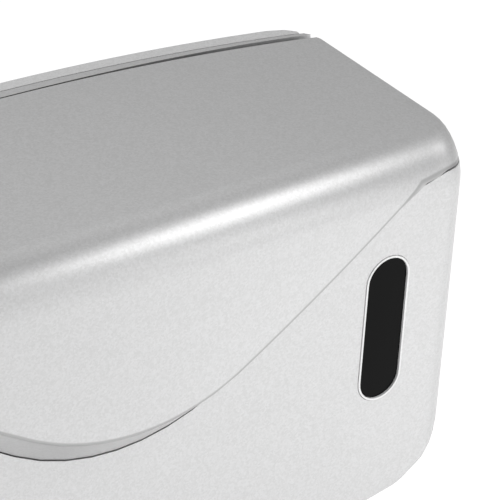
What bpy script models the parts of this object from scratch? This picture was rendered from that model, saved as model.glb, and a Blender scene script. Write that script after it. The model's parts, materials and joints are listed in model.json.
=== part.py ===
"""Wall mounted soap dispenser: a horizontal tank in a two-part housing under a lift-up hood.

Metres, +Z up. The wall is the plane Y = 0, the front faces -Y, and +X is the user's right.
The origin is the middle of the wall plate's back face.
"""
import math

import bmesh
import bpy
from mathutils import Matrix, Vector

MM = 0.001

# ---------------------------------------------------------------- driving dimensions
WIDTH = 205 * MM            # housing, side to side
HEIGHT = 106 * MM           # housing floor to the highest point of the hood
END_DEPTH = 71 * MM         # wall to the front face at the housing's ends
HOOD_BOW = 9.5 * MM         # how far the hood's front bows out beyond the ends
HOUSING_BOW = 0.8 * MM      # the same for the front housing, which is nearly flat
CROWN = 6.5 * MM            # how much higher the top is in the middle than at its ends
WALL = 2.5 * MM             # moulded wall of the hood and the housings
STRIP_HEIGHT = 13.5 * MM    # fixed strip behind the hood, below the hood's highest point
SHELF_WIDTH = 7 * MM        # shelves that carry the hood's bumpers
SHELF_LENGTH = 12 * MM
BUMPER_PLACE = 0.62         # share of the depth at the ends, from the wall
TOP_FILLET = 12 * MM        # top front edge of the hood
FLOOR_FILLET = 4 * MM       # bottom front edge of the front housing
FRONT_CORNER = 8 * MM       # plan radius of the front corners
REAR_CORNER = 13 * MM       # plan radius of the rear corners
LOWER_CORNER = 25 * MM      # elevation radius of the bottom corners
TOP_EDGE = 2 * MM           # small rounding of the top's side edges

LIP_DROP = 52 * MM          # highest point of the hood to the middle of its lower lip
SMILE_RADIUS = 60 * MM      # round middle of the lip's curve
SMILE_ANGLE = math.radians(29.4)   # the lip's rise beyond the round middle
SIDE_DROP = 13 * MM         # highest point of the hood to the seam at the ends
SHOULDER_RADIUS = 14 * MM   # where the lip's rise levels out
LIP_SLOPE = 1.05            # the undercut under the lip: fall for each unit of depth

PART_GAP = 0.3 * MM         # clearance between pieces that touch
SEAM_GAP = 0.45 * MM        # clearance between the hood and the front housing
REAR_DEPTH = 4 * MM         # rear housing, wall to its front face
RAIL_DEPTH = 6.9 * MM       # wall to the front of the strip behind the hood

HINGE_DROP = 6.5 * MM       # highest point of the hood to the hinge axis
HINGE_BACK = 14 * MM        # hood's back edge to the hinge axis
HINGE_X = 28 * MM           # middle of each hinge arm
ARM_WIDTH = 4.6 * MM
ARM_SCREW_RISE = 9 * MM     # tank's top to the arms' screws
LUG_WIDTH = 3.2 * MM
EYE_RADIUS = 3.2 * MM
PIN_RADIUS = 1.5 * MM
RUNNING_GAP = 0.1 * MM

PLATE_WIDTH = 140 * MM
PLATE_ROOM = 28 * MM        # highest point of the hood to the plate, clear of the hinge arms' screws
PLATE_THICKNESS = 1.6 * MM
PLATE_SLOT_X = 50 * MM      # wall screw holes from the middle
PLATE_CORNER = 4 * MM
PLATE_HOLE_RADIUS = 2.6 * MM
PLATE_SCREW_X = 30 * MM

SCREW_SHANK = 1.5 * MM
SCREW_HEAD = 3.0 * MM
SCREW_HEAD_HEIGHT = 1.6 * MM
SCREW_ROOT = 0.5 * MM       # how far the shank runs into the head
SOCKET_DEEP = 0.9 * MM      # hexagon socket in the head
SOCKET_RADIUS = 1.3 * MM
BOSS_RADIUS = 4.5 * MM
BOSS_INSET = 11 * MM        # housing's side to each housing screw
BOSS_DROP = 29 * MM         # highest point of the hood to the upper screws
BOSS_RISE = 31 * MM         # housing floor to the lower screws
BOSS_LENGTH = 13 * MM
RIB_THICKNESS = 2.4 * MM
RIB_SETBACK = 5 * MM        # boss's root to the rib's back edge

WINDOW_INSET = 24.5 * MM    # housing's side to the level window's middle
WINDOW_Z = 0.5 * MM
WINDOW_WIDTH = 13.4 * MM    # slot in the front housing
WINDOW_HEIGHT = 41.4 * MM
RIM_WIDTH = 0.5 * MM
RIM_GAP = 0.15 * MM
LENS_THICKNESS = 2.0 * MM

TANK_SIDE_ROOM = 18.5 * MM  # housing's side to the tank, clear of the screws and the window
TANK_FRONT_ROOM = 5.5 * MM
TANK_BACK = 9 * MM
TANK_FLOOR_ROOM = 4 * MM
TANK_TOP_ROOM = 28 * MM     # highest point of the hood to the tank, clear of the filler cap
TANK_WALL = 2 * MM
TANK_ROUNDING = 10 * MM     # the tank's edges, smaller where its floor needs the room
GASKET_LAND = 1.25 * MM     # flat floor round the valve's flange
FILLER_X = 0 * MM
FILLER_INSET = 23.5 * MM    # tank's front to the filler's middle
FILLER_RADIUS = 20 * MM
FILLER_HEIGHT = 7 * MM
CAP_WALL = 1.8 * MM

VALVE_OFFSET = 0.25 * MM    # tank's middle to the neck's middle, towards the wall
VALVE_DROP = 18 * MM        # housing floor to the barrel's axis
NECK_RADIUS = 12 * MM
FLANGE_RADIUS = 17 * MM
FLANGE_THICKNESS = 2.6 * MM
GASKET_THICKNESS = 1.6 * MM
NECK_BORE = 7 * MM
NUT_HEIGHT = 5 * MM
SHELF_DROP = 4 * MM         # housing floor to the inlet valve's seat
CAGE_LIFT = 4 * MM          # the seat to the cage's ledge
CAGE_THICKNESS = 1.5 * MM
CAGE_RADIUS = 8.6 * MM
BARREL_RADIUS = 9 * MM
BARREL_BORE = 6.4 * MM
BARREL_TAIL = 17 * MM       # neck's middle to the barrel's closed end
BARREL_NOSE = 30 * MM       # neck's middle to the barrel's open end
BARREL_END = 4 * MM         # thickness of the closed end
PORT_RADIUS = 2.6 * MM
COLLAR_WALL = 2.3 * MM
COLLAR_END = 3.5 * MM
ROD_RADIUS = 4 * MM
ROD_BORE = 2.2 * MM
PISTON_LENGTH = 16 * MM
STROKE = 10 * MM
BUTTON_RADIUS = 13 * MM
BUTTON_THICKNESS = 9 * MM
SOCKET_DEPTH = 3 * MM       # how far the rod enters the button
SPOUT_RADIUS = 3 * MM
SPOUT_BORE = 1.8 * MM
SPOUT_LENGTH = 10 * MM
SPRING_WIRE = 0.45 * MM
SPRING_RADIUS = 4.4 * MM
SPRING_TURNS = 7

# ---------------------------------------------------------------- derived places
HALF = WIDTH / 2
TOP = HEIGHT / 2
BOTTOM = -HEIGHT / 2
HOOD_BACK = RAIL_DEPTH + SEAM_GAP
HINGE_Y = -(HOOD_BACK + HINGE_BACK)
HINGE_Z = TOP - HINGE_DROP
LIP_Z = TOP - LIP_DROP
SIDE_Z = TOP - SIDE_DROP
SHELF_Z = SIDE_Z - 2 * MM
BUMPER_Y = -END_DEPTH * BUMPER_PLACE
FRONT_START = REAR_DEPTH + PART_GAP
BOSS_X = HALF - BOSS_INSET
BOSS_HEIGHTS = (TOP - BOSS_DROP, BOTTOM + BOSS_RISE)
WINDOW_X = HALF - WINDOW_INSET
TANK_HALF = HALF - TANK_SIDE_ROOM
TANK_FRONT = END_DEPTH - TANK_FRONT_ROOM
TANK_FLOOR = BOTTOM + TANK_FLOOR_ROOM
TANK_TOP = TOP - TANK_TOP_ROOM
FILLER_Y = -(TANK_FRONT - FILLER_INSET)
TANK_CORNER = min(TANK_ROUNDING, (TANK_FRONT - TANK_BACK) / 2 - FLANGE_RADIUS - GASKET_LAND)
PLATE_HEIGHT = 2 * (TOP - PLATE_ROOM)
VALVE_Y = VALVE_OFFSET - (TANK_BACK + TANK_FRONT) / 2
BARREL_BACK = -VALVE_Y - BARREL_TAIL
BARREL_FRONT = -VALVE_Y + BARREL_NOSE
STRIP_BACK = FRONT_START + 1.1 * MM
BARREL_Z = BOTTOM - VALVE_DROP
FLANGE_TOP = BOTTOM - GASKET_THICKNESS - 2 * PART_GAP
SWING = math.hypot(HINGE_BACK, max(HINGE_DROP, SIDE_DROP - HINGE_DROP))   # hood's back edge
FAR = 0.4

parts = None
cutters = None


# ---------------------------------------------------------------- scene helpers
def clear_scene():
    """Remove whatever the scene holds and make the two collections."""
    global parts, cutters
    for old in list(bpy.data.objects):
        bpy.data.objects.remove(old, do_unlink=True)
    parts = bpy.data.collections.new("soap_dispenser")
    cutters = bpy.data.collections.new("cutters")
    bpy.context.scene.collection.children.link(parts)
    bpy.context.scene.collection.children.link(cutters)


def finish_material(name, color, roughness, metallic=0.0, alpha=1.0):
    """A Principled material for one piece."""
    material = bpy.data.materials.new(name)
    material.use_nodes = True
    shader = material.node_tree.nodes["Principled BSDF"]
    shader.inputs["Base Color"].default_value = (*color, 1.0)
    shader.inputs["Roughness"].default_value = roughness
    shader.inputs["Metallic"].default_value = metallic
    shader.inputs["Alpha"].default_value = alpha
    return material


def silver(name):
    return finish_material(name, (0.62, 0.62, 0.63), 0.4, 0.5)


def steel(name):
    return finish_material(name, (0.60, 0.60, 0.61), 0.3, 1.0)


def rubber(name):
    return finish_material(name, (0.03, 0.03, 0.03), 0.7)


def dark_plastic(name):
    return finish_material(name, (0.04, 0.04, 0.045), 0.4)


def pale_plastic(name):
    return finish_material(name, (0.75, 0.76, 0.77), 0.35)


def add_object(name, mesh, material=None):
    """Link a mesh as a part, shaded smooth up to its sharp edges."""
    obj = bpy.data.objects.new(name, mesh)
    parts.objects.link(obj)
    mesh.shade_smooth()
    mesh.set_sharp_from_angle(angle=math.radians(35))
    if material is not None:
        mesh.materials.append(material)
    return obj


def as_cutter(obj):
    """Turn an object into a hidden Boolean operand."""
    parts.objects.unlink(obj)
    cutters.objects.link(obj)
    obj.hide_render = True
    obj.display_type = "WIRE"
    return obj


def boolean(obj, operand, operation):
    """Add one EXACT Boolean; the operand becomes a cutter."""
    if operand.name in parts.objects:
        as_cutter(operand)
    modifier = obj.modifiers.new(operation.lower(), "BOOLEAN")
    modifier.solver = "EXACT"
    modifier.operation = operation
    modifier.object = operand


def cut(obj, operand):
    boolean(obj, operand, "DIFFERENCE")


def join(obj, operand):
    boolean(obj, operand, "UNION")


# ---------------------------------------------------------------- basic solids
def mesh_from(name, bm):
    bmesh.ops.recalc_face_normals(bm, faces=bm.faces)
    mesh = bpy.data.meshes.new(name)
    bm.to_mesh(mesh)
    bm.free()
    return mesh


def block(name, low, high, bevel=0.0, material=None):
    """A box between two corners, with rounded edges if asked."""
    low, high = Vector(low), Vector(high)
    bm = bmesh.new()
    bmesh.ops.create_cube(bm, size=1.0)
    for vertex in bm.verts:
        vertex.co = Vector(low[i] + (vertex.co[i] + 0.5) * (high[i] - low[i]) for i in range(3))
    obj = add_object(name, mesh_from(name, bm), material)
    if bevel:
        rounding = obj.modifiers.new("rounding", "BEVEL")
        rounding.width = bevel
        rounding.segments = 3
    return obj


AXIS_TURN = {
    "X": Matrix.Rotation(math.radians(90), 4, "Y"),
    "Y": Matrix.Rotation(math.radians(-90), 4, "X"),
    "Z": Matrix.Identity(4),
}


def rod(name, axis, start, end, center, radius, end_radius=None, sides=28, material=None):
    """A cylinder or cone along an axis; center gives the other two coordinates in order."""
    length = end - start
    bm = bmesh.new()
    bmesh.ops.create_cone(bm, cap_ends=True, segments=sides, radius1=radius,
                          radius2=radius if end_radius is None else end_radius, depth=abs(length))
    place = {"X": (start + length / 2, *center),
             "Y": (center[0], start + length / 2, center[1]),
             "Z": (*center, start + length / 2)}[axis]
    bmesh.ops.transform(bm, matrix=Matrix.Translation(place) @ AXIS_TURN[axis], verts=bm.verts)
    return add_object(name, mesh_from(name, bm), material)


def turned(name, outline, axis, center, sides=32, material=None):
    """A closed outline of (radius, position) points turned round an axis."""
    bm = bmesh.new()
    rings = []
    for step in range(sides):
        angle = 2 * math.pi * step / sides
        rings.append([bm.verts.new((r * math.cos(angle), r * math.sin(angle), z)) for r, z in outline])
    count = len(outline)
    for step in range(sides):
        ring, following = rings[step], rings[(step + 1) % sides]
        for i in range(count):
            j = (i + 1) % count
            if outline[i][0] or outline[j][0]:
                bm.faces.new((ring[i], following[i], following[j], ring[j]))
    bmesh.ops.remove_doubles(bm, verts=bm.verts, dist=0.001 * MM)
    place = {"X": (0, *center), "Y": (center[0], 0, center[1]), "Z": (*center, 0)}[axis]
    bmesh.ops.transform(bm, matrix=Matrix.Translation(place) @ AXIS_TURN[axis], verts=bm.verts)
    return add_object(name, mesh_from(name, bm), material)


def washer(name, axis, start, end, center, inner, outer, sides=28, material=None):
    outline = [(inner, start), (outer, start), (outer, end), (inner, end)]
    return turned(name, outline, axis, center, sides, material)


def loft(name, sections, material=None):
    """A solid through closed sections that have the same number of points."""
    bm = bmesh.new()
    rings = [[bm.verts.new(point) for point in section] for section in sections]
    for ring, following in zip(rings, rings[1:]):
        for i in range(len(ring)):
            j = (i + 1) % len(ring)
            bm.faces.new((ring[i], ring[j], following[j], following[i]))
    bm.faces.new(rings[0])
    bm.faces.new(rings[-1])
    return add_object(name, mesh_from(name, bm), material)


def rounded_slab(name, width, height, corner, y_range, center, turn=0.0, steps=8, material=None):
    """A plate across Y with a rounded outline in X and Z, turned about Z if asked."""
    outline = []
    for quarter, (sx, sz) in enumerate(((1, 1), (-1, 1), (-1, -1), (1, -1))):
        for step in range(steps + 1):
            angle = math.radians(90 * quarter + 90 * step / steps)
            outline.append((sx * (width / 2 - corner) + corner * math.cos(angle),
                            sz * (height / 2 - corner) + corner * math.sin(angle)))
    sections = [[Vector((x, y, z)) for x, z in outline] for y in y_range]
    slab = loft(name, sections, material)
    bm = bmesh.new()
    bm.from_mesh(slab.data)
    bmesh.ops.remove_doubles(bm, verts=bm.verts, dist=0.001 * MM)
    move = Matrix.Translation(center) @ Matrix.Rotation(turn, 4, "Z")
    bmesh.ops.transform(bm, matrix=move, verts=bm.verts)
    bm.to_mesh(slab.data)
    bm.free()
    slab.data.shade_smooth()
    slab.data.set_sharp_from_angle(angle=math.radians(35))
    return slab


# ---------------------------------------------------------------- the housing's form
def arc_drop(u, half_chord, sagitta):
    """How far a circular arc has fallen at u from its middle."""
    radius = (half_chord ** 2 + sagitta ** 2) / (2 * sagitta)
    return radius - math.sqrt(radius ** 2 - u ** 2)


def round_drop(distance, radius):
    """How far a quarter round has fallen, distance past its start."""
    reach = min(max(distance, 0.0), radius)
    return radius - math.sqrt(radius ** 2 - reach ** 2)


def front_y(x, bow, inset=0.0):
    """The front surface at x."""
    corner = FRONT_CORNER - inset
    flat = HALF - FRONT_CORNER
    fall = arc_drop(min(abs(x), flat), flat, bow)
    return -(END_DEPTH + bow - inset) + fall + round_drop(abs(x) - flat, corner)


def back_y(x, start, inset=0.0):
    """The back edge at x of a shell that starts at a given depth from the wall."""
    corner = REAR_CORNER - inset
    return -max(start, inset + round_drop(abs(x) - (HALF - REAR_CORNER), corner))


def top_z(x, inset=0.0):
    edge = max(TOP_EDGE - inset, 0.5 * MM)
    fall = arc_drop(min(abs(x), HALF), HALF, CROWN)
    return TOP - inset - fall - round_drop(abs(x) - (HALF - inset - edge), edge)


def floor_z(x, inset=0.0):
    corner = LOWER_CORNER - inset
    return BOTTOM + inset + round_drop(abs(x) - (HALF - LOWER_CORNER), corner)


def side_stations(inset, middle_count=11, round_steps=4):
    """X places for the sections, closer together round the corners."""
    half = HALF - inset
    places = {0.0}
    for radius in (LOWER_CORNER, REAR_CORNER, FRONT_CORNER, TOP_EDGE):
        corner = max(radius - inset, 0.5 * MM)
        steps = round_steps if radius > TOP_EDGE else 3
        for step in range(steps + 1):
            places.add(round(half - corner + corner * math.sin(math.radians(90 * step / steps)), 6))
    for step in range(middle_count):
        places.add(round((HALF - LOWER_CORNER) * step / middle_count, 6))
    right = []
    for place in sorted(places):
        if not right or place - right[-1] > 0.4 * MM:
            right.append(place)
    right[-1] = half
    return [-x for x in reversed(right[1:])] + right


def form_section(x, bow, start, inset):
    """The housing's closed outline in Y and Z at x."""
    front, back = front_y(x, bow, inset), back_y(x, start, inset)
    top, floor = top_z(x, inset), floor_z(x, inset)
    upper, lower = TOP_FILLET - inset, FLOOR_FILLET - inset
    points = [Vector((x, back, floor)), Vector((x, back, top))]
    for step in range(9):
        angle = math.radians(90 * step / 8)
        points.append(Vector((x, front + upper - upper * math.sin(angle),
                              top - upper + upper * math.cos(angle))))
    for step in range(5):
        angle = math.radians(90 * step / 4)
        points.append(Vector((x, front + lower - lower * math.cos(angle),
                              floor + lower - lower * math.sin(angle))))
    return points


def form(name, bow, start, inset=0.0, material=None):
    """The housing's whole outer form, or its inner form at a wall's depth."""
    sections = [form_section(x, bow, start, inset) for x in side_stations(inset)]
    return loft(name, sections, material)


def seam_z(x):
    """Height of the hood's lower lip: a round middle, two straight rises and level ends."""
    bend = SMILE_RADIUS * math.sin(SMILE_ANGLE)
    if abs(x) <= bend:
        return LIP_Z + SMILE_RADIUS - math.sqrt(SMILE_RADIUS ** 2 - x ** 2)
    rise = SMILE_RADIUS * (1 - math.cos(SMILE_ANGLE))
    shoulder = bend + (SIDE_Z - LIP_Z - rise) / math.tan(SMILE_ANGLE)
    reach = SHOULDER_RADIUS * math.tan(SMILE_ANGLE / 2)
    if abs(x) >= shoulder + reach:
        return SIDE_Z
    if abs(x) <= shoulder - reach * math.cos(SMILE_ANGLE):
        return LIP_Z + rise + (abs(x) - bend) * math.tan(SMILE_ANGLE)
    past = shoulder + reach - abs(x)
    return SIDE_Z - SHOULDER_RADIUS + math.sqrt(SHOULDER_RADIUS ** 2 - past ** 2)


def parting_stations():
    """The form's own stations, carried on past its ends."""
    inner = side_stations(0.0)
    return [inner[0] - 5 * MM] + inner + [inner[-1] + 5 * MM]


def lip_points(x, lift):
    """The parting line at x, raised by lift: down the undercut, then level through the wall."""
    held = min(abs(x), HALF)
    lip_y, panel_y = front_y(held, HOOD_BOW), front_y(held, HOUSING_BOW)
    panel_z = seam_z(held) - (panel_y - lip_y) * LIP_SLOPE
    reach = 20 * MM
    return [Vector((x, lip_y - reach, seam_z(held) + reach * LIP_SLOPE + lift)),
            Vector((x, panel_y, panel_z + lift)),
            Vector((x, panel_y + WALL + PART_GAP, panel_z + lift))]


def below_parting(name):
    """Everything below the hood."""
    sections = []
    for x in parting_stations():
        line = lip_points(x, 0.0)
        sections.append(line + [Vector((x, line[2].y, SIDE_Z)), Vector((x, FAR, SIDE_Z)),
                                Vector((x, FAR, -FAR)), Vector((x, -FAR, -FAR)),
                                Vector((x, -FAR, line[0].z))])
    return loft(name, sections)


def above_parting(name):
    """Everything above the front housing's edge, in front of its top strip."""
    sections = []
    level = SIDE_Z - SEAM_GAP
    for x in parting_stations():
        line = lip_points(x, -SEAM_GAP)
        sections.append(line + [Vector((x, line[2].y, level)), Vector((x, -RAIL_DEPTH, level)),
                                Vector((x, -RAIL_DEPTH, FAR)), Vector((x, line[0].y, FAR))])
    return loft(name, sections)


def flange_keep(name):
    """What the hood's hollow leaves standing: its undercut flange, one wall thick."""
    sections = []
    lift = WALL * math.sqrt(1 + LIP_SLOPE ** 2)
    for x in parting_stations():
        line = lip_points(x, lift)
        sections.append(line + [Vector((x, line[2].y, -FAR)), Vector((x, line[0].y, -FAR))])
    return loft(name, sections)


# ---------------------------------------------------------------- fixed pieces
def make_wall_plate():
    """Stamped plate that is screwed to the wall and holds the rear housing."""
    plate = rounded_slab("wall_plate", PLATE_WIDTH, PLATE_HEIGHT, PLATE_CORNER, (-PLATE_THICKNESS, 0.0),
                         (0, 0, 0), steps=4, material=steel("plate_steel"))
    for x in (-PLATE_SLOT_X, PLATE_SLOT_X):
        for z in (-PLATE_HEIGHT / 4, PLATE_HEIGHT / 4):
            cut(plate, rod("wall_hole", "Y", -FAR, FAR, (x, z), PLATE_HOLE_RADIUS, sides=20))
    for x in (-PLATE_SCREW_X, PLATE_SCREW_X):
        cut(plate, rod("plate_bore", "Y", -FAR, FAR, (x, 0), SCREW_SHANK + PART_GAP, sides=16))


def make_rear_housing():
    """Back shell: the whole outline, a pocket for the wall plate and the screw holes."""
    stations = side_stations(0.0)
    sections = []
    for x in stations:
        back = -max(PART_GAP, round_drop(abs(x) - (HALF - REAR_CORNER), REAR_CORNER))
        if back > -REAR_DEPTH + 0.5 * MM:
            low, high = floor_z(x), top_z(x)
            sections.append([Vector((x, back, low)), Vector((x, -REAR_DEPTH, low)),
                             Vector((x, -REAR_DEPTH, high)), Vector((x, back, high))])
    housing = loft("rear_housing", sections, silver("rear_housing_silver"))
    pocket_gap = 2 * PART_GAP
    cut(housing, rounded_slab("plate_pocket", PLATE_WIDTH + 2 * pocket_gap, PLATE_HEIGHT + 2 * pocket_gap,
                              PLATE_CORNER + pocket_gap, (-PLATE_THICKNESS - PART_GAP, FAR),
                              (0, 0, 0), steps=4))
    for x in (-PLATE_SCREW_X, PLATE_SCREW_X):
        cut(housing, rod("plate_screw_hole", "Y", -FAR, FAR, (x, 0), SCREW_SHANK + PART_GAP, sides=16))
    for x, z in screw_places():
        cut(housing, rod("screw_hole", "Y", -FAR, FAR, (x, z), SCREW_SHANK + PART_GAP, sides=16))
        cut(housing, rod("head_recess", "Y", -head_seat(), FAR, (x, z), SCREW_HEAD + PART_GAP, sides=20))


def head_seat():
    """Depth from the wall of the face that the countersunk screw heads sit on."""
    return 2 * PART_GAP + SCREW_HEAD_HEIGHT + PART_GAP


def boss_places():
    return [(side * BOSS_X, z) for z in BOSS_HEIGHTS for side in (-1, 1)]


def arm_screw_height():
    return TANK_TOP + ARM_SCREW_RISE


def screw_places():
    return boss_places() + [(side * HINGE_X, arm_screw_height()) for side in (-1, 1)]


def screw(name, x, z, head_y, toward_front, length):
    """Pan head screw along Y with a hexagon socket; its head's outer face is at head_y."""
    sign = -1 if toward_front else 1
    under = head_y + sign * SCREW_HEAD_HEIGHT
    tip = under + sign * length
    piece = rod(name, "Y", min(head_y, under), max(head_y, under), (x, z), SCREW_HEAD, sides=20,
                material=steel(name + "_steel"))
    root = under - sign * SCREW_ROOT
    join(piece, rod(name + "_shank", "Y", min(root, tip), max(root, tip), (x, z), SCREW_SHANK, sides=16))
    mouth, socket_end = head_y - sign * MM, head_y + sign * SOCKET_DEEP
    cut(piece, rod(name + "_socket", "Y", min(mouth, socket_end), max(mouth, socket_end), (x, z),
                   SOCKET_RADIUS, sides=6))


def make_screws():
    head_y = -2 * PART_GAP
    for number, (x, z) in enumerate(boss_places(), 1):
        screw(f"housing_screw_{number}", x, z, head_y, True, BOSS_LENGTH - 1 * MM)
    for side, x in (("left", -HINGE_X), ("right", HINGE_X)):
        screw(f"arm_screw_{side}", x, arm_screw_height(), head_y, True, 5 * MM)
    for side, x in (("left", -PLATE_SCREW_X), ("right", PLATE_SCREW_X)):
        head = -(FRONT_START + SCREW_HEAD_HEIGHT)
        screw(f"plate_screw_{side}", x, 0, head, False, FRONT_START - 2 * PART_GAP)


def window_turn():
    """The front housing's slope in plan at the window."""
    step = 1 * MM
    rise = front_y(WINDOW_X + step, HOUSING_BOW) - front_y(WINDOW_X - step, HOUSING_BOW)
    return math.atan2(rise, 2 * step)


def window_slab(name, grow, y_range, material=None):
    """A stadium slab in the window's place, grown by a margin all round."""
    width, height = WINDOW_WIDTH + 2 * grow, WINDOW_HEIGHT + 2 * grow
    place = (WINDOW_X, front_y(WINDOW_X, HOUSING_BOW), WINDOW_Z)
    corner = width / 2 - 0.01 * MM
    return rounded_slab(name, width, height, corner, y_range, place, window_turn(), 8, material)


def make_front_housing():
    """Front shell: floor, sides, a front wall under the hood's lip and a narrow top strip."""
    housing = form("front_housing", HOUSING_BOW, FRONT_START, material=silver("front_housing_silver"))
    hollow = form("housing_hollow", HOUSING_BOW, -FAR, WALL)
    cut(hollow, block("strip_keep", (-FAR, -STRIP_BACK, TOP - STRIP_HEIGHT), (FAR, FAR, FAR)))
    cut(housing, hollow)
    for side in (-1, 1):
        ends = sorted((side * (HALF - WALL / 2), side * (HALF - WALL - SHELF_WIDTH)))
        join(housing, block("bumper_shelf", (ends[0], BUMPER_Y - SHELF_LENGTH / 2, SHELF_Z - 2 * MM),
                            (ends[1], BUMPER_Y + SHELF_LENGTH / 2, SHELF_Z)))
    for x, z in boss_places():
        side = math.copysign(1, x)
        end = -(FRONT_START + BOSS_LENGTH)
        join(housing, rod("screw_boss", "Y", end, -FRONT_START, (x, z), BOSS_RADIUS, sides=20))
        rib = sorted((x, side * (HALF - WALL / 2)))
        join(housing, block("boss_rib", (rib[0], end, z - RIB_THICKNESS / 2),
                            (rib[1], -FRONT_START - RIB_SETBACK, z + RIB_THICKNESS / 2)))
        cut(housing, rod("boss_bore", "Y", end + 1.5 * MM, FAR, (x, z), SCREW_SHANK + PART_GAP, sides=16))
    cut(housing, above_parting("above_parting"))
    cut(housing, rod("hood_sweep", "X", -FAR, FAR, (HINGE_Y, HINGE_Z), SWING + SEAM_GAP, sides=40))
    cut(housing, window_slab("window_cut", 0.0, (-20 * MM, 20 * MM)))
    cut(housing, rod("neck_hole", "Z", BOTTOM - 10 * MM, BOTTOM + 10 * MM, (0, VALVE_Y),
                     NECK_RADIUS + PART_GAP))


def make_window():
    """Level window: a thin pale rim in the slot, the dark lens and the seal behind it."""
    rim = window_slab("window_rim", -RIM_GAP, (-0.2 * MM, WALL), pale_plastic("rim_pale"))
    cut(rim, window_slab("rim_hole", -RIM_GAP - RIM_WIDTH, (-20 * MM, 20 * MM)))
    lens_edge = -2 * RIM_GAP - RIM_WIDTH
    window_slab("level_window", lens_edge, (0.3 * MM, 0.3 * MM + LENS_THICKNESS), dark_plastic("lens_dark"))
    seal_start = WALL + PART_GAP
    seal = window_slab("window_seal", 1.6 * MM, (seal_start, seal_start + 1.2 * MM), rubber("seal_rubber"))
    cut(seal, window_slab("seal_hole", -1.2 * MM, (-20 * MM, 20 * MM)))


def make_hinge_arm(name, x):
    """Fixed arm: a foot on the rear housing, a run over the tank and a post up to the pin."""
    low, run = TANK_TOP + 1.3 * MM, 4.2 * MM
    half = ARM_WIDTH / 2
    material = dark_plastic(name + "_black")
    arm = block(name, (x - half, HINGE_Y - EYE_RADIUS, low), (x + half, -FRONT_START, low + run),
                material=material)
    join(arm, block(name + "_post", (x - half, HINGE_Y - EYE_RADIUS, low + MM),
                    (x + half, HINGE_Y + 2.6 * MM, HINGE_Z)))
    join(arm, rod(name + "_eye", "X", x - half, x + half, (HINGE_Y, HINGE_Z), EYE_RADIUS))
    foot = 5.5 * MM
    join(arm, block(name + "_foot", (x - foot, -FRONT_START - 2.4 * MM, low),
                    (x + foot, -FRONT_START, low + 12 * MM)))
    place = (x, arm_screw_height())
    join(arm, rod(name + "_socket", "Y", -FRONT_START - 4 * MM, -FRONT_START, place, 3.2 * MM, sides=20))
    cut(arm, rod(name + "_thread", "Y", -FRONT_START - 3.4 * MM, FAR, place, SCREW_SHANK + PART_GAP / 2,
                 sides=16))
    cut(arm, rod(name + "_bore", "X", x - 20 * MM, x + 20 * MM, (HINGE_Y, HINGE_Z), PIN_RADIUS + RUNNING_GAP,
                 sides=20))


def lug_offsets():
    """Each hood lug's near and far face, from the middle of its arm."""
    near = ARM_WIDTH / 2 + PART_GAP
    return near, near + LUG_WIDTH


def make_hinge_pin(name, x):
    reach = lug_offsets()[1]
    rod(name, "X", x - reach, x + reach, (HINGE_Y, HINGE_Z), PIN_RADIUS, sides=20,
        material=steel(name + "_steel"))


# ---------------------------------------------------------------- the hood
def make_hood():
    """Lift-up hood: crowned top, bowed front, undercut lip, side ears and hinge lugs."""
    hood = form("hood", HOOD_BOW, HOOD_BACK, material=silver("hood_silver"))
    below = below_parting("below_parting")
    cut(below, rod("ear_keep", "X", -FAR, FAR, (HINGE_Y, HINGE_Z), SWING, sides=40))
    cut(hood, below)
    hollow = form("hood_hollow", HOOD_BOW, -FAR, WALL)
    cut(hollow, flange_keep("flange_keep"))
    cut(hood, hollow)
    near, far = lug_offsets()
    for x in (-HINGE_X, HINGE_X):
        for side in (-1, 1):
            ends = sorted((x + side * near, x + side * far))
            join(hood, block("lug", (ends[0], HINGE_Y - EYE_RADIUS, HINGE_Z),
                             (ends[1], HINGE_Y + EYE_RADIUS, top_z(x) - WALL / 2)))
            join(hood, rod("lug_eye", "X", ends[0], ends[1], (HINGE_Y, HINGE_Z), EYE_RADIUS))
        cut(hood, rod("lug_bore", "X", x - 20 * MM, x + 20 * MM, (HINGE_Y, HINGE_Z),
                      PIN_RADIUS + RUNNING_GAP, sides=20))


def make_bumpers():
    """Rubber stops that carry the closed hood on the front housing's shelves."""
    for side, sign in (("left", -1), ("right", 1)):
        outer = HALF - WALL - MM
        ends = sorted((sign * outer, sign * (outer - SHELF_WIDTH + 2 * MM)))
        half_length = SHELF_LENGTH / 2 - MM
        bumper = block(f"hood_bumper_{side}", (ends[0], BUMPER_Y - half_length, SHELF_Z + PART_GAP),
                       (ends[1], BUMPER_Y + half_length, top_z(outer, WALL) - PART_GAP), 0.8 * MM,
                       rubber(f"bumper_{side}_rubber"))
        bumper.modifiers["rounding"].segments = 2


# ---------------------------------------------------------------- tank
def tank_form(name, inset, floor, top, material=None):
    """The tank's rounded box, or its inside at a wall's depth."""
    sections = []
    corner = TANK_CORNER - inset
    half = TANK_HALF - inset
    front, back = -(TANK_FRONT - inset), -(TANK_BACK + inset)
    outline = []
    for quarter, (sx, y) in enumerate(((1, back), (-1, back), (-1, front), (1, front))):
        sy = 1 if y == back else -1
        for step in range(6):
            angle = math.radians(90 * quarter + 90 * step / 5)
            outline.append((sx * (half - corner) + corner * math.cos(angle),
                            y - sy * corner + corner * math.sin(angle)))
    middle = (front + back) / 2
    for step in range(5):
        angle = math.radians(90 * step / 4)
        pull = corner * (1 - math.sin(angle))
        height = floor + corner * (1 - math.cos(angle))
        sections.append(shrunk(outline, middle, half, (back - front) / 2, pull, height))
    for step in range(5):
        angle = math.radians(90 * step / 4)
        pull = corner * (1 - math.cos(angle))
        height = top - corner * (1 - math.sin(angle))
        sections.append(shrunk(outline, middle, half, (back - front) / 2, pull, height))
    return loft(name, sections, material)


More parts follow.
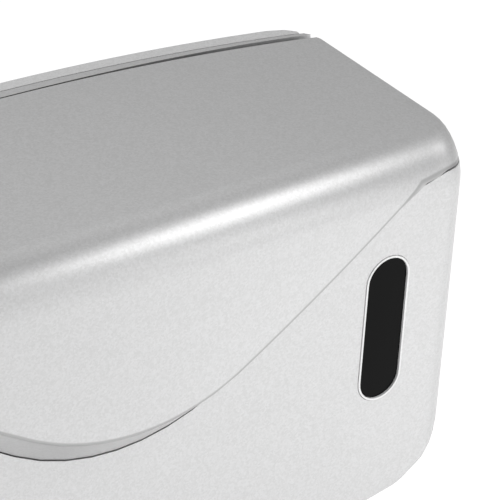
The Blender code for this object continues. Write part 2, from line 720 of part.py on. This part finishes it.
def shrunk(outline, middle, half_x, half_y, pull, height):
    """An outline drawn in by pull on every side, at a height."""
    scale_x, scale_y = (half_x - pull) / half_x, (half_y - pull) / half_y
    return [Vector((x * scale_x, middle + (y - middle) * scale_y, height)) for x, y in outline]


def make_tank():
    """Soap tank with a filler neck on top and a hole for the valve's neck in its floor."""
    smoke = finish_material("tank_smoke", (0.05, 0.05, 0.055), 0.4)
    tank = tank_form("tank", 0.0, TANK_FLOOR, TANK_TOP, smoke)
    neck = (FILLER_X, FILLER_Y)
    join(tank, rod("filler_neck", "Z", TANK_TOP - MM, TANK_TOP + FILLER_HEIGHT, neck, FILLER_RADIUS,
                   sides=32))
    cut(tank, tank_form("tank_hollow", TANK_WALL, TANK_FLOOR + TANK_WALL, TANK_TOP - TANK_WALL))
    cut(tank, rod("filler_mouth", "Z", TANK_TOP - 8 * MM, TANK_TOP + 30 * MM, neck,
                  FILLER_RADIUS - TANK_WALL, sides=32))
    cut(tank, rod("outlet_hole", "Z", TANK_FLOOR - 5 * MM, TANK_FLOOR + 5 * MM, (0, VALVE_Y),
                  NECK_RADIUS + PART_GAP))


def make_tank_pads():
    """Rubber pads between the housing's floor and the tank."""
    low, high = BOTTOM + WALL + PART_GAP, TANK_FLOOR - PART_GAP
    for side, x in (("left", -50 * MM), ("right", 50 * MM)):
        block(f"tank_pad_{side}", (x - 9 * MM, -50 * MM, low), (x + 9 * MM, -26 * MM, high), 0.0,
              rubber(f"pad_{side}_rubber"))


def make_filler_cap():
    """Twist cap over the filler neck with a grip bar, and its seal."""
    center = (FILLER_X, FILLER_Y)
    neck_top = TANK_TOP + FILLER_HEIGHT
    seal_top = neck_top + PART_GAP + 1.2 * MM
    washer("filler_seal", "Z", neck_top + PART_GAP, seal_top, center, FILLER_RADIUS - TANK_WALL,
           FILLER_RADIUS, material=rubber("filler_seal_rubber"))
    inner = FILLER_RADIUS + PART_GAP
    outer = inner + CAP_WALL
    under = seal_top + PART_GAP
    crown = under + CAP_WALL
    skirt = TANK_TOP + 1.5 * MM
    outline = [(0, under), (inner, under), (inner, skirt), (outer, skirt), (outer, crown - 0.8 * MM),
               (outer - 0.8 * MM, crown), (0, crown)]
    cap = turned("filler_cap", outline, "Z", center, 36, pale_plastic("cap_pale"))
    join(cap, block("cap_grip", (center[0] - 14 * MM, center[1] - 2 * MM, crown - MM),
                    (center[0] + 14 * MM, center[1] + 2 * MM, crown + 5 * MM)))


# ---------------------------------------------------------------- valve
def make_valve_body():
    """Valve body: a neck through the floor, a flange below it and a level barrel."""
    center = (0, VALVE_Y)
    neck_top = TANK_FLOOR + TANK_WALL + GASKET_THICKNESS + NUT_HEIGHT + 3 * PART_GAP + 1.5 * MM
    axis = (0, BARREL_Z)
    body = rod("valve_body", "Z", BARREL_Z, neck_top, center, NECK_RADIUS,
               material=dark_plastic("valve_black"))
    join(body, rod("flange", "Z", FLANGE_TOP - FLANGE_THICKNESS, FLANGE_TOP, center, FLANGE_RADIUS))
    join(body, rod("barrel", "Y", -BARREL_FRONT, -BARREL_BACK, axis, BARREL_RADIUS))
    join(body, rod("barrel_root", "Z", BARREL_Z - BARREL_RADIUS, BARREL_Z, center, NECK_RADIUS, 6 * MM))
    cut(body, rod("barrel_bore", "Y", -BARREL_FRONT - MM, -BARREL_BACK - BARREL_END, axis, BARREL_BORE))
    shelf = BOTTOM - SHELF_DROP
    cut(body, rod("neck_bore", "Z", shelf, neck_top + MM, center, NECK_BORE))
    cut(body, rod("cage_bore", "Z", shelf + CAGE_LIFT, neck_top + 2 * MM, center, CAGE_RADIUS + PART_GAP))
    cut(body, rod("port", "Z", BARREL_Z, shelf + MM, center, PORT_RADIUS, sides=20))


def make_inlet_valve():
    """Check disc with a guide peg over the port, and the cage that limits its lift."""
    center = (0, VALVE_Y)
    low = BOTTOM - SHELF_DROP + PART_GAP
    rim, peg = NECK_BORE - 0.8 * MM, 1.5 * MM
    cage_low = BOTTOM - SHELF_DROP + CAGE_LIFT + PART_GAP
    peg_top = cage_low + CAGE_THICKNESS + 1.2 * MM
    outline = [(0, low), (rim, low), (rim, low + 0.8 * MM), (peg, low + 1.2 * MM), (peg, peg_top),
               (0, peg_top)]
    turned("inlet_valve", outline, "Z", center, 28, rubber("inlet_rubber"))
    cage = washer("valve_cage", "Z", cage_low, cage_low + CAGE_THICKNESS, center, peg + PART_GAP, CAGE_RADIUS,
                  material=pale_plastic("cage_pale"))
    for quarter in range(4):
        angle = math.radians(90 * quarter + 45)
        place = (4.6 * MM * math.cos(angle), VALVE_Y + 4.6 * MM * math.sin(angle))
        cut(cage, rod("cage_hole", "Z", cage_low - MM, cage_low + CAGE_THICKNESS + MM, place, 1.5 * MM,
                      sides=12))


def make_valve_seals():
    """Gaskets under the housing's floor and inside the tank, and the nut that clamps them."""
    center = (0, VALVE_Y)
    inner = NECK_RADIUS + PART_GAP
    washer("valve_gasket", "Z", FLANGE_TOP + PART_GAP, FLANGE_TOP + PART_GAP + GASKET_THICKNESS, center, inner,
           FLANGE_RADIUS, material=rubber("valve_gasket_rubber"))
    low = TANK_FLOOR + TANK_WALL + PART_GAP
    washer("neck_gasket", "Z", low, low + GASKET_THICKNESS, center, inner, FLANGE_RADIUS,
           material=rubber("neck_gasket_rubber"))
    start = low + GASKET_THICKNESS + PART_GAP
    nut = rod("valve_nut", "Z", start, start + NUT_HEIGHT, center, FLANGE_RADIUS, sides=6,
              material=pale_plastic("nut_pale"))
    cut(nut, rod("nut_bore", "Z", start - MM, start + NUT_HEIGHT + MM, center, inner))


def make_collar():
    """Screw collar on the barrel's open end, which guides the rod."""
    inner, outer = BARREL_RADIUS + PART_GAP, BARREL_RADIUS + PART_GAP + COLLAR_WALL
    face = -(BARREL_FRONT + PART_GAP)
    end = face - COLLAR_END
    skirt = -(BARREL_FRONT - 8 * MM)
    outline = [(inner, skirt), (outer, skirt), (outer, end + 0.8 * MM), (outer - 0.8 * MM, end),
               (ROD_RADIUS + RUNNING_GAP, end), (ROD_RADIUS + RUNNING_GAP, face), (inner, face)]
    turned("valve_collar", outline, "Y", (0, BARREL_Z), 28, dark_plastic("collar_black"))
    return end


def make_plunger(collar_end):
    """Piston with its hollow rod and ring, the push button and the spout below it."""
    axis = (0, BARREL_Z)
    front_stop = -(BARREL_FRONT - PART_GAP)
    crown = front_stop + PISTON_LENGTH
    head = BARREL_BORE - RUNNING_GAP
    groove = crown - 5 * MM
    rod_end = collar_end - STROKE - 2 * MM - SOCKET_DEPTH
    outline = [(ROD_BORE, crown), (head, crown), (head, groove + MM), (head - 1.2 * MM, groove + MM),
               (head - 1.2 * MM, groove - MM), (head, groove - MM), (head, front_stop), (ROD_RADIUS, front_stop),
               (ROD_RADIUS, rod_end), (ROD_BORE, rod_end)]
    turned("piston", outline, "Y", axis, 28, pale_plastic("piston_pale"))
    washer("piston_ring", "Y", groove - 0.7 * MM, groove + 0.7 * MM, axis, head - MM, head,
           material=rubber("ring_rubber"))
    make_button(axis, rod_end)
    return crown


def make_button(axis, rod_end):
    """Round push pad with a socket for the rod, and the spout with its tip."""
    back = rod_end + SOCKET_DEPTH
    face = back - BUTTON_THICKNESS
    socket = ROD_RADIUS + RUNNING_GAP
    rounding = 2.5 * MM
    outline = [(0, face), (BUTTON_RADIUS - rounding, face + 0.4 * MM)]
    for step in range(1, 5):
        angle = math.radians(90 * step / 4)
        outline.append((BUTTON_RADIUS - rounding + rounding * math.sin(angle),
                        face + 0.4 * MM + rounding * (1 - math.cos(angle))))
    outline += [(BUTTON_RADIUS, back), (socket, back), (socket, rod_end - PART_GAP), (0, rod_end - PART_GAP)]
    button = turned("push_button", outline, "Y", axis, 36, silver("button_silver"))
    spout_y = back - BUTTON_THICKNESS / 2
    root = BARREL_Z - BUTTON_RADIUS + 3 * MM
    hole = SPOUT_RADIUS + PART_GAP
    cut(button, rod("spout_socket", "Z", BARREL_Z - BUTTON_RADIUS - 5 * MM, root, (0, spout_y), hole,
                    sides=24))
    cut(button, rod("button_port", "Z", root - MM, BARREL_Z + 0.7 * MM, (0, spout_y), SPOUT_BORE, sides=18))
    top = root - PART_GAP
    low = BARREL_Z - BUTTON_RADIUS - SPOUT_LENGTH
    washer("spout", "Z", low, top, (0, spout_y), SPOUT_BORE, SPOUT_RADIUS, 24, dark_plastic("spout_black"))
    inner = SPOUT_RADIUS + PART_GAP
    outlet, tip_end = SPOUT_BORE - 0.6 * MM, low - 2.5 * MM
    tip = [(inner, low + 4 * MM), (inner + MM, low + 4 * MM), (inner + MM, low), (outlet + MM, tip_end),
           (outlet, tip_end), (outlet, low - PART_GAP), (inner, low - PART_GAP)]
    turned("spout_tip", tip, "Z", (0, spout_y), 24, rubber("tip_rubber"))


def make_spring(crown):
    """Return spring between the barrel's closed end and the piston."""
    start = -(BARREL_BACK + BARREL_END) - PART_GAP - SPRING_WIRE
    end = crown + PART_GAP + SPRING_WIRE
    steps = 10 * SPRING_TURNS
    curve = bpy.data.curves.new("valve_spring", "CURVE")
    curve.dimensions = "3D"
    curve.bevel_depth = SPRING_WIRE
    curve.bevel_resolution = 2
    curve.use_fill_caps = True
    line = curve.splines.new("POLY")
    line.points.add(steps)
    for step in range(steps + 1):
        turn = 2 * math.pi * SPRING_TURNS * step / steps
        line.points[step].co = (SPRING_RADIUS * math.cos(turn), start + (end - start) * step / steps,
                                BARREL_Z + SPRING_RADIUS * math.sin(turn), 1.0)
    spring = bpy.data.objects.new("valve_spring", curve)
    parts.objects.link(spring)
    curve.materials.append(steel("spring_steel"))


def main():
    clear_scene()
    make_wall_plate()
    make_rear_housing()
    make_screws()
    make_front_housing()
    make_window()
    for side, x in (("left", -HINGE_X), ("right", HINGE_X)):
        make_hinge_arm(f"hinge_arm_{side}", x)
        make_hinge_pin(f"hinge_pin_{side}", x)
    make_hood()
    make_bumpers()
    make_tank()
    make_tank_pads()
    make_filler_cap()
    make_valve_body()
    make_inlet_valve()
    make_valve_seals()
    crown = make_plunger(make_collar())
    make_spring(crown)


main()
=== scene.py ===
"""Looks of the wall mounted soap dispenser: materials, fine surfaces, light and camera."""

import json
import math

import bmesh
import bpy
from mathutils import Matrix, Vector


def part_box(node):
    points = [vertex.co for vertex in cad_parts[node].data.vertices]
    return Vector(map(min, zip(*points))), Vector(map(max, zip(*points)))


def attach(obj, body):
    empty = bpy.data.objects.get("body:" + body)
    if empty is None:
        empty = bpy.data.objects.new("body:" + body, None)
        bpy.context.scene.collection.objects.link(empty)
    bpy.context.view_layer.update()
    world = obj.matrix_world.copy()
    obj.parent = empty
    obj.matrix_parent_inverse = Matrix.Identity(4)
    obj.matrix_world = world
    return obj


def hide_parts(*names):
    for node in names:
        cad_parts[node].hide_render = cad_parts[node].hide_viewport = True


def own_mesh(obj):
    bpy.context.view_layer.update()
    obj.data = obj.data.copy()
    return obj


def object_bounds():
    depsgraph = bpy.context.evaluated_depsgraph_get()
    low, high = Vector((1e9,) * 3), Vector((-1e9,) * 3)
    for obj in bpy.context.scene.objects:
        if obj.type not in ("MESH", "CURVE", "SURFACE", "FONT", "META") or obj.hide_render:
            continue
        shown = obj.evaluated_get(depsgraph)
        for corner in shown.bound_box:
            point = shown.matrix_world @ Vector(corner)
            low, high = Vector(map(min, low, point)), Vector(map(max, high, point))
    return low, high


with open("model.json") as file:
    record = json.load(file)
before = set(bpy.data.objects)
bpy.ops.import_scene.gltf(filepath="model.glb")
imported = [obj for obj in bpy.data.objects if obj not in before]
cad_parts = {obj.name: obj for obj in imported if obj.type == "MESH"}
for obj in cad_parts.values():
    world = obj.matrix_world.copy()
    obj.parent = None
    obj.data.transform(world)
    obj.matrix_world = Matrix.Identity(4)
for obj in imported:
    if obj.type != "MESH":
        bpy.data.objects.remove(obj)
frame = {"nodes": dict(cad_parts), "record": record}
cad_box = [list(corner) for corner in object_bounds()]

MM = 0.001
scene = bpy.context.scene
scene.view_settings.view_transform = "Standard"
scene.view_settings.look = "None"


# ---------------------------------------------------------------- materials
FLAKE_SCALE = 2200.0         # silver paint: flakes, satin grain and faint clouds, per metre
GRAIN_SCALE = 1500.0
CLOUD_SCALE = 14.0
LIP_PAINTED_SHADE_HEIGHT = 0.9 * MM         # height of the painted shade along the hood's lip
LIP_PAINTED_SHADE_TONE = 0.65              # tone of that painted shade, as a share of the paint's
UNDERCUT_PAINTED_SHADE = 0.30        # how much of that painted shade the undercut takes
HOOD_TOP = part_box("hood")[1][2]
LIP_DROP = 52 * MM           # hood's highest point to the middle of its lip
SMILE_RADIUS = 60 * MM       # lip's round middle
SMILE_ANGLE = math.radians(29.4)   # lip's rise beyond it
SIDE_DROP = 13 * MM          # hood's highest point to its lip at the ends


class Shader:
    """A material's node tree with short calls."""

    def __init__(self, name):
        self.material = bpy.data.materials.new(name)
        self.material.use_nodes = True
        self.tree = self.material.node_tree
        self.surface = self.tree.nodes["Principled BSDF"]
        self.place = self.tree.nodes.new("ShaderNodeTexCoord").outputs["Object"]

    def node(self, kind, inputs=(), **settings):
        made = self.tree.nodes.new("ShaderNode" + kind)
        for key, value in settings.items():
            setattr(made, key, value)
        for key, value in dict(inputs).items():
            self.feed(made.inputs[key], value)
        return made

    def feed(self, socket, value):
        if isinstance(value, bpy.types.NodeSocket):
            self.tree.links.new(value, socket)
        else:
            socket.default_value = value

    def set(self, **values):
        for key, value in values.items():
            self.feed(self.surface.inputs[key.replace("_", " ")], value)

    def noise(self, scale, detail=2.0, roughness=0.5, stretch=(1, 1, 1)):
        place = self.node("Mapping", {"Vector": self.place, "Scale": stretch}).outputs["Vector"]
        return self.node("TexNoise", {"Vector": place, "Scale": scale, "Detail": detail,
                                      "Roughness": roughness}).outputs["Fac"]

    def spread(self, value, low, high, to_low, to_high):
        return self.node("MapRange", {"Value": value, "From Min": low, "From Max": high,
                                      "To Min": to_low, "To Max": to_high}).outputs["Result"]

    def math(self, operation, first, second=0.0):
        made = self.node("Math", operation=operation)
        self.feed(made.inputs[0], first)
        self.feed(made.inputs[1], second)
        return made.outputs["Value"]

    def mix(self, factor, first, second):
        made = self.node("Mix", data_type="RGBA")
        self.feed(made.inputs["Factor"], factor)
        self.feed(made.inputs[6], first)
        self.feed(made.inputs[7], second)
        return made.outputs[2]

    def bump(self, height, strength, distance):
        return self.node("Bump", {"Height": height, "Strength": strength,
                                  "Distance": distance}).outputs["Normal"]


def grey(value, tint=(1.0, 1.0, 1.0)):
    return (value * tint[0], value * tint[1], value * tint[2], 1.0)


def above_lip(s):
    """Height over the hood's lip: a round middle, two straight rises and level ends."""
    place = s.node("SeparateXYZ", {"Vector": s.place}).outputs
    bend = SMILE_RADIUS * math.sin(SMILE_ANGLE)
    across = s.math("ABSOLUTE", place["X"])
    inner = s.math("MINIMUM", across, bend)
    chord = s.math("SUBTRACT", SMILE_RADIUS ** 2, s.math("MULTIPLY", inner, inner))
    arc = s.math("SUBTRACT", SMILE_RADIUS, s.math("SQRT", chord))
    outer = s.math("MAXIMUM", s.math("SUBTRACT", across, bend), 0.0)
    rise = s.math("ADD", arc, s.math("MULTIPLY", outer, math.tan(SMILE_ANGLE)))
    lip = s.math("MINIMUM", s.math("ADD", rise, HOOD_TOP - LIP_DROP), HOOD_TOP - SIDE_DROP)
    return s.math("SUBTRACT", place["Z"], lip)


def silver_paint(name, base=0.60, metallic=0.55, roughness=0.40, lip=False):
    """Silver paint: a fine metallic flake in a satin coat; with lip set, painted shade darkens it
    along the lip's edge and faintly in the undercut.
    """
    s = Shader(name)
    flake = s.node("TexVoronoi", {"Vector": s.place, "Scale": FLAKE_SCALE, "Randomness": 1.0})
    cloud = s.noise(CLOUD_SCALE, 3.0)
    grain = s.noise(GRAIN_SCALE, 2.0, 0.6)
    sparkle = s.node("SeparateColor", {"Color": flake.outputs["Color"]}).outputs["Red"]
    tone = s.mix(sparkle, grey(base * 0.94), grey(base * 1.06, (1.0, 1.0, 1.005)))
    tone = s.mix(s.spread(cloud, 0.35, 0.65, 0.0, 0.06), tone, grey(base * 0.9))
    # painted shade: a darker band just above the hood's lip and a fainter one below it, in the
    # undercut
    if lip:
        height = above_lip(s)
        above = s.spread(height, LIP_PAINTED_SHADE_HEIGHT / 2, LIP_PAINTED_SHADE_HEIGHT, 1.0, 0.0)
        below = s.spread(height, -LIP_PAINTED_SHADE_HEIGHT, 0.0, UNDERCUT_PAINTED_SHADE, 1.0)
        painted_lip_shade = s.math("MULTIPLY", above, below)
        tone = s.mix(painted_lip_shade, tone, grey(base * LIP_PAINTED_SHADE_TONE))
    s.set(Base_Color=tone, Metallic=metallic,
          Roughness=s.spread(grain, 0.3, 0.7, roughness - 0.04, roughness + 0.04),
          Normal=s.bump(grain, 0.06, 0.03 * MM))
    s.surface.inputs["Coat Weight"].default_value = 0.15
    s.surface.inputs["Coat Roughness"].default_value = 0.3
    return s.material


def moulded(name, base, roughness, grain_scale=900.0, strength=0.15):
    """Moulded plastic with a fine texture and slight unevenness."""
    s = Shader(name)
    grain = s.noise(grain_scale, 3.0)
    cloud = s.spread(s.noise(30.0, 3.0), 0.3, 0.7, 0.0, 1.0)
    s.set(Base_Color=s.mix(cloud, grey(base * 0.92), grey(base * 1.08)),
          Roughness=s.spread(grain, 0.3, 0.7, roughness - 0.05, roughness + 0.05),
          Normal=s.bump(grain, strength, 0.05 * MM))
    return s.material


def clear_dark(name, base, roughness, gloss=0.5):
    """Dark tinted plastic with faint smears in its gloss."""
    s = Shader(name)
    smear = s.noise(60.0, 4.0, 0.6, (1, 1, 0.4))
    s.set(Base_Color=s.mix(smear, grey(base * 0.8), grey(base * 1.2)),
          Roughness=s.spread(smear, 0.3, 0.7, roughness, roughness + 0.06))
    s.surface.inputs["Specular IOR Level"].default_value = gloss
    return s.material


def plated(name, base, roughness):
    """Plated steel with a faint directional grain."""
    s = Shader(name)
    lines = s.noise(300.0, 3.0, 0.6, (1, 12, 1))
    s.set(Base_Color=s.mix(lines, grey(base * 0.9, (1, 1, 0.98)), grey(base * 1.1)), Metallic=1.0,
          Roughness=s.spread(lines, 0.3, 0.7, roughness - 0.06, roughness + 0.06),
          Normal=s.bump(lines, 0.05, 0.02 * MM))
    return s.material


def make_materials():
    return {
        "silver_housing": silver_paint("silver_housing_paint"),
        # the hood's paint carries the painted shade along its lip
        "silver_hood": silver_paint("silver_hood_paint_with_painted_lip_shade", lip=True),
        "silver_button": silver_paint("silver_button_paint"),
        # painted light: a lighter copy of the silver paint, standing in for the light the rear
        # housing's rim catches
        "silver_rear": silver_paint("silver_rear_paint_painted_light", 0.80),
        "lens": clear_dark("lens_dark", 0.004, 0.12, 0.04),
        # painted highlight: the pale ring lining the slot stands in for the light on the slot's
        # rounded edge
        "rim": moulded("rim_pale", 0.86, 0.3),
        "tank_plastic": clear_dark("tank_smoke", 0.045, 0.25),
        "black_plastic": moulded("moulded_black", 0.035, 0.45),
        "pale_plastic": moulded("moulded_pale", 0.72, 0.4),
        "plate_steel": plated("plate_zinc", 0.62, 0.35),
        "screw_steel": plated("screw_zinc", 0.66, 0.3),
        "pin_steel": plated("pin_ground", 0.66, 0.25),
        "spring_steel": plated("spring_wire", 0.62, 0.28),
        "rubber_black": moulded("rubber_black", 0.03, 0.75, grain_scale=600.0, strength=0.3),
        "rubber_grey": moulded("rubber_grey", 0.16, 0.7, grain_scale=600.0, strength=0.3),
    }


def smoothing_group():
    """Nodes that join a mesh's loose faces and shade it smooth up to its sharp edges."""
    group = bpy.data.node_groups.new("weld_and_smooth", "GeometryNodeTree")
    for way in ("INPUT", "OUTPUT"):
        group.interface.new_socket("Geometry", in_out=way, socket_type="NodeSocketGeometry")
    start = group.nodes.new("NodeGroupInput")
    weld = group.nodes.new("GeometryNodeMergeByDistance")
    weld.inputs["Distance"].default_value = 0.001 * MM
    faces = group.nodes.new("GeometryNodeSetShadeSmooth")
    faces.domain = "FACE"
    edges = group.nodes.new("GeometryNodeSetShadeSmooth")
    edges.domain = "EDGE"
    angle = group.nodes.new("GeometryNodeInputMeshEdgeAngle")
    gentle = group.nodes.new("FunctionNodeCompare")
    gentle.operation = "LESS_THAN"
    gentle.inputs[1].default_value = SHARP
    end = group.nodes.new("NodeGroupOutput")
    group.links.new(start.outputs["Geometry"], weld.inputs["Geometry"])
    group.links.new(weld.outputs["Geometry"], faces.inputs["Geometry"])
    group.links.new(faces.outputs["Geometry"], edges.inputs["Geometry"])
    group.links.new(angle.outputs["Unsigned Angle"], gentle.inputs[0])
    group.links.new(gentle.outputs["Result"], edges.inputs["Shade Smooth"])
    group.links.new(edges.outputs["Geometry"], end.inputs["Geometry"])
    return group


def soften(node):
    """Smooth shading up to the sharp edges."""
    node.modifiers.new("weld_and_smooth", "NODES").node_group = smoothing


def paint_nodes():
    """Give every CAD node its slot's material; the rear housing gets a lighter copy of the silver
    paint, painted light for the light its rim catches.
    """
    for name, node in frame["nodes"].items():
        if not node.material_slots:
            node.data.materials.append(None)
        for place in node.material_slots:
            place.material = materials["silver_rear" if name == "rear_housing" else slot_of[name]]
        soften(node)


SHARP = math.radians(32)     # edges that turn more than this stay sharp
smoothing = smoothing_group()
materials = make_materials()
slot_of = {row["node"]: row["material_slot"] for row in frame["record"]["subparts"]}
paint_nodes()


def add_spring():
    """The valve's spring: a smooth-shaded copy of its CAD node, carried with the housing in its
    place.
    """
    coil = bpy.data.objects.new("valve_spring_coil", frame["nodes"]["valve_spring"].data.copy())
    scene.collection.objects.link(coil)
    soften(coil)
    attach(coil, "housing")
    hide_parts("valve_spring")
    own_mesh(coil)


add_spring()


# ---------------------------------------------------------------- stage, light and camera
def add_floor():
    """Plain pale floor, far enough below that the dispenser hangs clear of it."""
    bm = bmesh.new()
    bmesh.ops.create_grid(bm, x_segments=8, y_segments=8, size=FLOOR_HALF)
    mesh = bpy.data.meshes.new("floor")
    bm.to_mesh(mesh)
    bm.free()
    floor = bpy.data.objects.new("floor", mesh)
    floor.location = (0, 0, cad_box[0][2] - FLOOR_DROP)
    scene.collection.objects.link(floor)
    s = Shader("floor_pale")
    cloud = s.noise(1.5, 2.0)
    s.set(Base_Color=s.mix(cloud, grey(0.90), grey(0.93)), Roughness=0.9, Emission_Color=grey(1.0))
    s.surface.inputs["Emission Strength"].default_value = FLOOR_GLOW
    mesh.materials.append(s.material)


def add_light(name, direction, distance, size, power, size_y=None):
    """Area light in a direction from the object's middle, turned towards it."""
    data = bpy.data.lights.new(name, "AREA")
    data.energy = power
    data.shape = "RECTANGLE"
    data.size = size
    data.size_y = size_y or size
    light = bpy.data.objects.new(name, data)
    place = Vector(direction).normalized() * distance
    light.location = place
    light.rotation_euler = (-place).to_track_quat("-Z", "Y").to_euler()
    light.visible_camera = False
    scene.collection.objects.link(light)


def add_camera():
    """Camera at the photograph's angle."""
    yaw, pitch, roll = (math.radians(angle) for angle in CAMERA_ANGLES)
    forward = Vector((math.sin(yaw) * math.cos(pitch), math.cos(yaw) * math.cos(pitch),
                      -math.sin(pitch)))
    right = Vector((math.cos(yaw), -math.sin(yaw), 0))
    up = right.cross(forward)
    side = math.cos(roll) * right + math.sin(roll) * up
    above = -math.sin(roll) * right + math.cos(roll) * up
    data = bpy.data.cameras.new("camera")
    data.sensor_width = 36
    data.lens = LENS
    data.clip_start = 0.01
    camera = bpy.data.objects.new("camera", data)
    turn = Matrix((side, above, -forward)).transposed().to_4x4()
    camera.matrix_world = Matrix.Translation(CAMERA_PLACE) @ turn
    scene.collection.objects.link(camera)
    scene.camera = camera


def add_world():
    """Even white surroundings."""
    world = bpy.data.worlds.new("studio")
    world.use_nodes = True
    background = world.node_tree.nodes["Background"]
    background.inputs["Color"].default_value = (1, 1, 1, 1)
    background.inputs["Strength"].default_value = WORLD_GLOW
    scene.world = world


FLOOR_GLOW = 0.55            # so that the floor reads as plain white
FLOOR_HALF = 6.0
FLOOR_DROP = 0.25            # lowest point of the dispenser to the floor
WORLD_GLOW = 0.40
CAMERA_ANGLES = (37.12, 30.25, 3.8)   # yaw, pitch and roll, degrees
CAMERA_PLACE = (-0.3440, -0.5726, HOOD_TOP + 0.3489)
LENS = 225.4                 # focal length, mm

add_world()
add_floor()
add_light("front_softbox", (0.25, -1.0, 0.35), 1.6, 1.4, 3.8)
add_light("top_softbox", (0.3, 0.5, 0.8), 1.5, 1.2, 2.3)
add_light("band_card", (0.66, -0.72, 0.10), 1.2, 0.45, 0.8)
add_light("low_card", (0.633, -0.589, -0.5), 0.60, 0.30, 0.10)
add_light("edge_softbox", (0.62, -0.45, 0.72), 1.3, 0.7, 4.0, 0.35)
add_camera()
